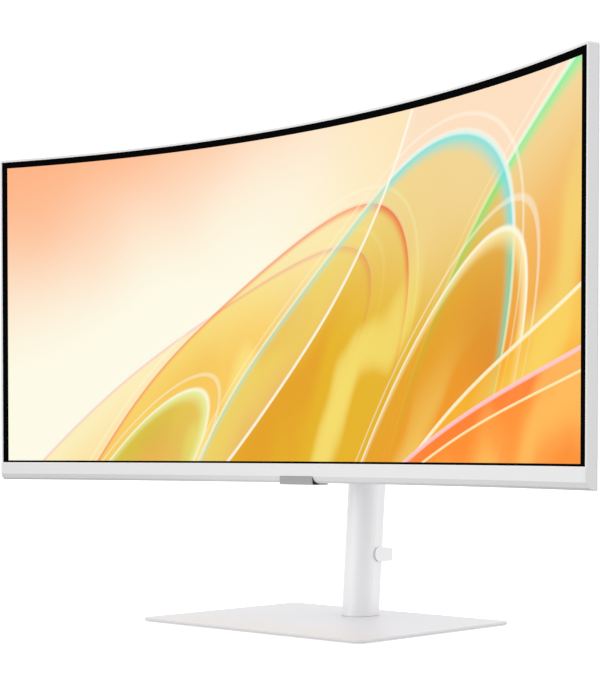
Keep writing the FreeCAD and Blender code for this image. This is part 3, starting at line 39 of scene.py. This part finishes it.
class Field:
    """A number that varies over a surface. Arithmetic on it adds Math nodes to its tree."""

    def __init__(self, tree, socket):
        self.tree = tree
        self.socket = socket

    def math(self, operation, other=None):
        node = self.tree.nodes.new("ShaderNodeMath")
        node.operation = operation
        for place, value in enumerate((self, other)):
            if value is not None:
                feed(self.tree, value, node.inputs[place])
        return Field(self.tree, node.outputs[0])

    def __add__(self, other):
        return self.math("ADD", other)

    def __sub__(self, other):
        return self.math("SUBTRACT", other)

    def __rsub__(self, other):
        return (self * -1.0) + other

    def __mul__(self, other):
        return self.math("MULTIPLY", other)

    def __truediv__(self, other):
        return self.math("DIVIDE", other)

    __rmul__ = __mul__

    def rise(self, low, high):
        """0 below low, 1 above high, smooth between. With low above high it falls."""
        node = self.tree.nodes.new("ShaderNodeMapRange")
        node.interpolation_type = "SMOOTHSTEP"
        feed(self.tree, self, node.inputs["Value"])
        if low < high:
            node.inputs["From Min"].default_value, node.inputs["From Max"].default_value = low, high
        else:
            node.inputs["From Min"].default_value, node.inputs["From Max"].default_value = high, low
            node.inputs["To Min"].default_value, node.inputs["To Max"].default_value = 1.0, 0.0
        return Field(self.tree, node.outputs["Result"])


def feed(tree, value, socket):
    """Link a field, or set a plain number or colour."""
    if isinstance(value, Field):
        tree.links.new(value.socket, socket)
    elif isinstance(value, bpy.types.NodeSocket):
        tree.links.new(value, socket)
    elif hasattr(value, "__len__") and len(value) == 3 and socket.type == "RGBA":
        socket.default_value = (*value, 1.0)
    else:
        socket.default_value = value


def blend_colours(tree, share, under, over, how="MIX"):
    """Colour socket that goes from under to over as share goes from 0 to 1."""
    node = tree.nodes.new("ShaderNodeMix")
    node.data_type = "RGBA"
    node.blend_type = how
    feed(tree, share, node.inputs[0])
    feed(tree, under, node.inputs[6])
    feed(tree, over, node.inputs[7])
    return node.outputs[2]


def noise(tree, place, scale, detail=2.0, roughness=0.5, stretch=(1, 1, 1)):
    """Noise field about 0.5, in object space."""
    if stretch != (1, 1, 1):
        mapping = tree.nodes.new("ShaderNodeMapping")
        mapping.inputs["Scale"].default_value = stretch
        tree.links.new(place, mapping.inputs["Vector"])
        place = mapping.outputs["Vector"]
    node = tree.nodes.new("ShaderNodeTexNoise")
    node.inputs["Scale"].default_value = scale
    node.inputs["Detail"].default_value = detail
    node.inputs["Roughness"].default_value = roughness
    tree.links.new(place, node.inputs["Vector"])
    return Field(tree, node.outputs["Fac"])


def new_material(name):
    """A material with its tree, its Principled shader and the object's own coordinates."""
    material = bpy.data.materials.new(name)
    material.use_nodes = True
    tree = material.node_tree
    shader = tree.nodes["Principled BSDF"]
    place = tree.nodes.new("ShaderNodeTexCoord").outputs["Object"]
    return material, tree, shader, place


def bump(tree, shader, height, distance, strength=1.0):
    """Give the shader a normal from a height field; distance is the height's full range in metres."""
    node = tree.nodes.new("ShaderNodeBump")
    node.inputs["Strength"].default_value = strength
    node.inputs["Distance"].default_value = distance
    feed(tree, height, node.inputs["Height"])
    tree.links.new(node.outputs["Normal"], shader.inputs["Normal"])


# ---------------------------------------------------------------- materials

def moulded_plastic(name, colour, roughness, grain=0.35 * MM, depth=0.012 * MM, drift=0.015, gloss=0.5,
                    pearl=0.0):
    """Spark-eroded plastic: fine grain, faint uneven colour and a slightly uneven sheen.

    Gloss is the strength of the clear reflection, and pearl the metallic share of a satin lacquer.
    """
    material, tree, shader, place = new_material(name)
    fine = noise(tree, place, 1 / grain, detail=3.0)
    broad = noise(tree, place, 14.0, detail=2.0)
    shade = (broad - 0.5) * drift + (fine - 0.5) * drift * 0.6 + 1.0
    tinted = tree.nodes.new("ShaderNodeVectorMath")
    tinted.operation = "SCALE"
    tinted.inputs[0].default_value = colour
    feed(tree, shade, tinted.inputs["Scale"])
    tree.links.new(tinted.outputs[0], shader.inputs["Base Color"])
    feed(tree, (fine - 0.5) * 0.12 + (broad - 0.5) * 0.06 + roughness, shader.inputs["Roughness"])
    shader.inputs["Specular IOR Level"].default_value = gloss
    shader.inputs["Metallic"].default_value = pearl
    bump(tree, shader, fine, depth)
    return material


def coated_steel(name, colour, roughness):
    """Powder coat: soft orange peel under a satin sheen, with a few fine specks."""
    material, tree, shader, place = new_material(name)
    peel = noise(tree, place, 420.0, detail=2.0, roughness=0.4)
    speck = noise(tree, place, 2600.0, detail=1.0).rise(0.62, 0.72)
    broad = noise(tree, place, 9.0)
    shade = (broad - 0.5) * 0.018 - speck * 0.012 + 1.0
    tinted = tree.nodes.new("ShaderNodeVectorMath")
    tinted.operation = "SCALE"
    tinted.inputs[0].default_value = colour
    feed(tree, shade, tinted.inputs["Scale"])
    tree.links.new(tinted.outputs[0], shader.inputs["Base Color"])
    feed(tree, (peel - 0.5) * 0.1 + roughness, shader.inputs["Roughness"])
    bump(tree, shader, peel + speck * 0.4, 0.03 * MM, 0.5)
    return material


def bare_metal(name, colour, roughness, grain_scale=900.0, along=(1, 1, 0.03), depth=0.006 * MM):
    """Drawn or rolled metal: fine lines along one axis, with a slightly uneven polish."""
    material, tree, shader, place = new_material(name)
    lines = noise(tree, place, grain_scale, detail=3.0, stretch=along)
    broad = noise(tree, place, 35.0)
    feed(tree, blend_colours(tree, lines.rise(0.25, 0.75), [c * 0.82 for c in colour], colour),
         shader.inputs["Base Color"])
    shader.inputs["Metallic"].default_value = 1.0
    feed(tree, (lines - 0.5) * 0.22 + (broad - 0.5) * 0.1 + roughness, shader.inputs["Roughness"])
    bump(tree, shader, lines, depth)
    return material


def film(name, colour, roughness, gloss=0.5, light_through=0.0):
    """Optical sheet or printed film: even, with the faintest ripple."""
    material, tree, shader, place = new_material(name)
    ripple = noise(tree, place, 60.0, detail=1.0)
    feed(tree, blend_colours(tree, ripple.rise(0.2, 0.8), colour, [c * 0.94 for c in colour]),
         shader.inputs["Base Color"])
    feed(tree, (ripple - 0.5) * 0.06 + roughness, shader.inputs["Roughness"])
    shader.inputs["Specular IOR Level"].default_value = gloss
    shader.inputs["Transmission Weight"].default_value = light_through
    return material


def solder_mask(name):
    """Green board: darker lacquer over copper runs, with bright pads."""
    material, tree, shader, place = new_material(name)
    split = tree.nodes.new("ShaderNodeSeparateXYZ")
    tree.links.new(place, split.inputs[0])
    across, up = Field(tree, split.outputs[0]), Field(tree, split.outputs[2])
    waver = noise(tree, place, 22.0, detail=0.0) * 0.02
    runs = ((across + up * 0.5 + waver) * 2200.0).math("SINE").rise(0.3, 0.6)
    runs_up = ((up - across * 0.2 + waver) * 1700.0).math("SINE").rise(0.5, 0.8)
    copper = (runs * noise(tree, place, 40.0).rise(0.45, 0.55)).math("MAXIMUM", runs_up * 0.5)
    green = blend_colours(tree, copper, (0.012, 0.10, 0.045), (0.03, 0.24, 0.10))
    pads = noise(tree, place, 260.0, detail=0.0).rise(0.70, 0.72)
    feed(tree, blend_colours(tree, pads, green, (0.72, 0.70, 0.62)), shader.inputs["Base Color"])
    feed(tree, pads * 0.1 + 0.3, shader.inputs["Roughness"])
    bump(tree, shader, copper + pads, 0.03 * MM)
    return material


# The wallpaper: translucent folded sheets over a warm sky. Places are in picture half-heights from
# its middle, so it runs from -1 to 1 upwards and from about -2.34 to 2.34 across.
SKY_PEACH = (1.0, 0.46, 0.23)
SKY_CREAM = (0.99, 0.97, 0.80)
SKY_BLUSH = (0.98, 0.74, 0.52)
SKY_STRAW = (0.92, 0.56, 0.12)
GOLD_LIGHT = (1.0, 0.90, 0.22)
AMBER_SHADE = (0.78, 0.30, 0.0)
# centre, radii, turn in degrees,
# tint, foot colour, depth of colour, rim colour, rim width
SHEETS = [
    ((-1.25, -1.20), (0.66, 2.25), -52,
     (1.0, 0.88, 0.50), (0.98, 0.62, 0.12), 0.65, (0.92, 0.42, 0.58), 0.010),
    ((-0.75, -1.25), (0.86, 2.25), -43,
     (0.96, 0.82, 0.30), (0.94, 0.48, 0.02), 0.92, (0.96, 0.08, 0.05), 0.013),
    ((1.55, -1.60), (1.02, 2.95), -22,
     (0.86, 0.84, 0.24), (0.98, 0.28, 0.01), 0.85, (0.08, 0.92, 0.34), 0.028),
    ((0.02, -1.50), (1.02, 2.70), -34,
     (0.84, 0.80, 0.14), (0.80, 0.45, 0.0), 1.00, (0.10, 0.78, 0.80), 0.022),
    ((0.62, -1.85), (0.55, 2.40), -28,
     (0.95, 0.78, 0.20), (0.98, 0.30, 0.0), 0.95, (0.98, 0.86, 0.42), 0.014),
    ((-1.42, -1.22), (0.26, 0.92), -44,
     (0.62, 0.88, 0.10), (1.0, 0.30, 0.02), 1.00, (0.80, 0.94, 0.40), 0.018),
]
# centre, radius, fill, opacity and depth of the fill, line colour, line width
SWEEPS = [
    ((-5.9, 4.6), 7.70, (1.0, 0.80, 0.36), 0.30, 0.9, (1.0, 0.97, 0.84), 0.016),
    ((5.2, -5.9), 6.55, (0.96, 0.50, 0.01), 0.65, 0.9, (1.0, 0.94, 0.66), 0.018),
    ((4.3, -7.0), 6.95, (1.0, 0.19, 0.01), 0.92, 1.2, (1.0, 0.60, 0.66), 0.020),
    ((4.2, -7.2), 7.00, (1.0, 0.30, 0.01), 0.60, 0.9, (1.0, 0.90, 0.50), 0.012),
]


def silk(tree, place, side, body, strength):
    """Bright and dark streaks that run the length of a sheet."""
    fold = noise(tree, place, 7.0, detail=1.5, stretch=(1.5, 1.0, 0.6))
    bright = (side * 7.0 + fold * 6.0).math("SINE").rise(0.50, 1.0)
    dark = (side * 4.0 + fold * 5.0 + 2.1).math("SINE").rise(0.20, 1.0)
    body = blend_colours(tree, dark * strength, body, AMBER_SHADE)
    return blend_colours(tree, bright * strength, body, GOLD_LIGHT)


def wallpaper(tree, place):
    """Colour socket of the picture: a sky, then each sheet, then the long sweeping folds."""
    split = tree.nodes.new("ShaderNodeSeparateXYZ")
    tree.links.new(place, split.inputs[0])
    half = (MASK_HIGH.z - MASK_LOW.z) / 2
    middle = (MASK_HIGH.z + MASK_LOW.z) / 2
    sway = noise(tree, place, 3.1, detail=0.0) - 0.5
    lift = noise(tree, place, 2.3, detail=0.0) - 0.5
    across = Field(tree, split.outputs[0]) / half + sway * 0.40
    up = (Field(tree, split.outputs[2]) - middle) / half + lift * 0.35
    haze = noise(tree, place, 6.0, detail=1.0)
    glow = (across * -0.32 + up * 0.80 + (haze - 0.5) * 0.4).rise(0.25, 1.55)
    colour = blend_colours(tree, glow, SKY_CREAM, SKY_PEACH)
    colour = blend_colours(tree, across.rise(-0.4, 1.2), colour, SKY_BLUSH)
    colour = blend_colours(tree, (across * 0.6 - up).rise(0.2, 1.5) * 0.9, colour, SKY_STRAW)
    for centre, radii, tilt, tint, foot, strength, rim_colour, rim_width in SHEETS:
        angle = math.radians(tilt)
        side = (across - centre[0]) * math.cos(angle) + (up - centre[1]) * math.sin(angle)
        rise = (up - centre[1]) * math.cos(angle) - (across - centre[0]) * math.sin(angle)
        reach = ((side / radii[0]).math("POWER", 2.0) + (rise / radii[1]).math("POWER", 2.0)).math("SQRT")
        edge = (reach - 1.0) * min(radii)
        low = (rise / radii[1] + (haze - 0.5) * 0.6).rise(1.0, 0.30)
        deep = edge.rise(0.0, -0.35)
        inside = edge.rise(0.003, -0.003)
        colour = blend_colours(tree, inside * (low * 0.45 + 0.55) * strength, colour, tint, "MULTIPLY")
        body = silk(tree, place, side, foot, deep * 0.7)
        colour = blend_colours(tree, inside * low * (deep * 0.7 + 0.15) * strength, colour, body)
        fringe = edge.rise(-rim_width * 2.4, 0.0) * edge.rise(0.004, 0.0)
        colour = blend_colours(tree, fringe * (low * -0.3 + 0.9), colour, rim_colour)
        shine = edge.rise(-rim_width * 0.5, -rim_width * 0.1) * edge.rise(rim_width * 0.5, 0.0)
        ghost = edge.rise(0.030, 0.034) * edge.rise(0.044, 0.038) * 0.4
        colour = blend_colours(tree, shine * 0.7 + ghost, colour, (1.0, 0.97, 0.86))
    for centre, radius, fill, opacity, depth, line_colour, line_width in SWEEPS:
        reach = ((across - centre[0]).math("POWER", 2.0) + (up - centre[1]).math("POWER", 2.0)).math("SQRT")
        edge = reach - radius
        under = edge.rise(0.0, -0.01) * edge.rise(-depth, -depth * 0.1) * opacity
        body = silk(tree, place, edge * 0.6, fill, 0.35)
        colour = blend_colours(tree, under, colour, body)
        line = edge.rise(-line_width * 1.4, -line_width * 0.7) * edge.rise(line_width * 0.3, 0.0)
        colour = blend_colours(tree, line * 0.85, colour, line_colour)
    return colour


def lit_screen(name):
    """The picture under an anti-glare film."""
    material, tree, shader, place = new_material(name)
    colour = wallpaper(tree, place)
    shader.inputs["Base Color"].default_value = (0.01, 0.01, 0.01, 1.0)
    tree.links.new(colour, shader.inputs["Emission Color"])
    shader.inputs["Emission Strength"].default_value = 0.97
    shader.inputs["Specular IOR Level"].default_value = 0.12
    haze = noise(tree, place, 5200.0, detail=1.0)
    feed(tree, (haze - 0.5) * 0.1 + 0.42, shader.inputs["Roughness"])
    bump(tree, shader, haze, 0.002 * MM)
    return material


def rubber(name):
    material, tree, shader, place = new_material(name)
    grain = noise(tree, place, 1800.0, detail=3.0)
    feed(tree, blend_colours(tree, grain.rise(0.3, 0.7), (0.045, 0.045, 0.05), (0.075, 0.075, 0.08)),
         shader.inputs["Base Color"])
    feed(tree, (grain - 0.5) * 0.1 + 0.8, shader.inputs["Roughness"])
    bump(tree, shader, grain, 0.03 * MM)
    return material


MATERIALS = {
    "white_plastic": moulded_plastic("white_plastic", (0.875, 0.87, 0.88), 0.46, gloss=0.25),
    "white_satin": moulded_plastic("white_satin", (0.813, 0.805, 0.817), 0.32, gloss=0.6, pearl=0.3),
    "white_steel": coated_steel("white_steel", (0.795, 0.782, 0.80), 0.42),
    "screen": lit_screen("screen"),
    "black_gloss": film("black_gloss", (0.003, 0.003, 0.0035), 0.3, gloss=0.0),
    "silver": coated_steel("silver", (0.38, 0.38, 0.385), 0.38),
    "black_plastic": moulded_plastic("black_plastic", (0.012, 0.012, 0.013), 0.42, drift=0.2, gloss=0.2),
    "grey_plastic": moulded_plastic("grey_plastic", (0.55, 0.55, 0.57), 0.42),
    "clear_acrylic": film("clear_acrylic", (0.90, 0.91, 0.92), 0.25, light_through=0.4),
    "white_film": film("white_film", (0.92, 0.92, 0.92), 0.5),
    "aluminium": bare_metal("aluminium", (0.78, 0.79, 0.80), 0.38, along=(0.03, 1, 1)),
    "zinc_steel": bare_metal("zinc_steel", (0.60, 0.61, 0.63), 0.34),
    "spring_steel": bare_metal("spring_steel", (0.42, 0.43, 0.46), 0.26),
    "board_green": solder_mask("board_green"),
    "component_black": moulded_plastic("component_black", (0.03, 0.03, 0.034), 0.5, drift=0.2),
    "acetal": moulded_plastic("acetal", (0.80, 0.80, 0.76), 0.36),
    "rubber": rubber("rubber"),
}


def dress(piece, material):
    """Give every face of a piece one material."""
    piece.data.materials.clear()
    piece.data.materials.append(material)


for part in frame["record"]["subparts"]:
    dress(frame["nodes"][part["node"]], MATERIALS[part["material_slot"]])


# ---------------------------------------------------------------- floor, light and camera

# Level directions (to the right, to the back) in which the surroundings are dimmer, and by what share.
DIM_SIDE = (0.905, -0.425)
DIM_SHARE = 0.33
FAR_SIDE = (-0.90, 0.43)
FAR_SHARE = 0.20
# Brightness straight down and straight up, as shares of that at eye level.
SKY_BELOW = 0.31
SKY_ZENITH = 0.72
SKY_STRENGTH = 1.50
FLOOR_GLOW = 0.45
FLOOR_REACH = 30.0


def make_floor():
    """A pale floor that runs out to the background. It glows, and casts no light on the object."""
    mesh = bpy.data.meshes.new("floor")
    corners = [(-FLOOR_REACH, -FLOOR_REACH, 0), (FLOOR_REACH, -FLOOR_REACH, 0),
               (FLOOR_REACH, FLOOR_REACH, 0), (-FLOOR_REACH, FLOOR_REACH, 0)]
    mesh.from_pydata(corners, [], [(0, 1, 2, 3)])
    floor = bpy.data.objects.new("floor", mesh)
    bpy.context.scene.collection.objects.link(floor)
    material, tree, shader, place = new_material("floor")
    feed(tree, blend_colours(tree, noise(tree, place, 3.0), (0.93, 0.93, 0.93), (0.95, 0.95, 0.95)),
         shader.inputs["Base Color"])
    shader.inputs["Roughness"].default_value = 0.9
    shader.inputs["Specular IOR Level"].default_value = 0.1
    shader.inputs["Emission Color"].default_value = (1.0, 1.0, 1.0, 1.0)
    shader.inputs["Emission Strength"].default_value = FLOOR_GLOW
    mesh.materials.append(material)
    floor.visible_diffuse = False
    floor.visible_glossy = False


def make_sky(tree):
    """White surroundings, dimmer from below, from the front right and a little from the back left."""
    direction = tree.nodes.new("ShaderNodeTexCoord").outputs["Generated"]
    split = tree.nodes.new("ShaderNodeSeparateXYZ")
    tree.links.new(direction, split.inputs[0])
    side, back, up = (Field(tree, split.outputs[axis]) for axis in range(3))
    towards_dim = side * DIM_SIDE[0] + back * DIM_SIDE[1]
    towards_far = side * FAR_SIDE[0] + back * FAR_SIDE[1]
    light = 1.0 - towards_dim.rise(0.03, 1.0) * DIM_SHARE
    light = light * (1.0 - towards_far.rise(-0.1, 0.9) * FAR_SHARE)
    above = 1.0 - up.rise(-0.1, 0.95) * (1.0 - SKY_ZENITH)
    return light * above * (up.rise(-0.6, -0.02) * (1.0 - SKY_BELOW) + SKY_BELOW)


def make_light():
    """Make the surroundings the light of the scene."""
    world = bpy.data.worlds.new("studio")
    world.use_nodes = True
    background = world.node_tree.nodes["Background"]
    feed(world.node_tree, make_sky(world.node_tree), background.inputs["Color"])
    background.inputs["Strength"].default_value = SKY_STRENGTH
    bpy.context.scene.world = world
    bpy.context.scene.view_settings.view_transform = "Standard"


# The lens is in millimetres, the place in metres and the two angles in radians.
FOCAL_LENGTH = 84.87
CAMERA_AT = (1.1306, -1.2359, 0.1782)
CAMERA_YAW = 0.7557
CAMERA_PITCH = -0.025
CAMERA_SHIFT_UP = 0.2168


def make_camera():
    """Eye level with the foot of the screen, from the front right."""
    data = bpy.data.cameras.new("camera")
    data.lens = FOCAL_LENGTH
    data.shift_y = CAMERA_SHIFT_UP
    data.clip_start = 0.01
    camera = bpy.data.objects.new("camera", data)
    camera.location = CAMERA_AT
    camera.rotation_euler = Euler((math.pi / 2 + CAMERA_PITCH, 0.0, CAMERA_YAW))
    bpy.context.scene.collection.objects.link(camera)
    bpy.context.scene.camera = camera


make_floor()
make_light()
make_camera()
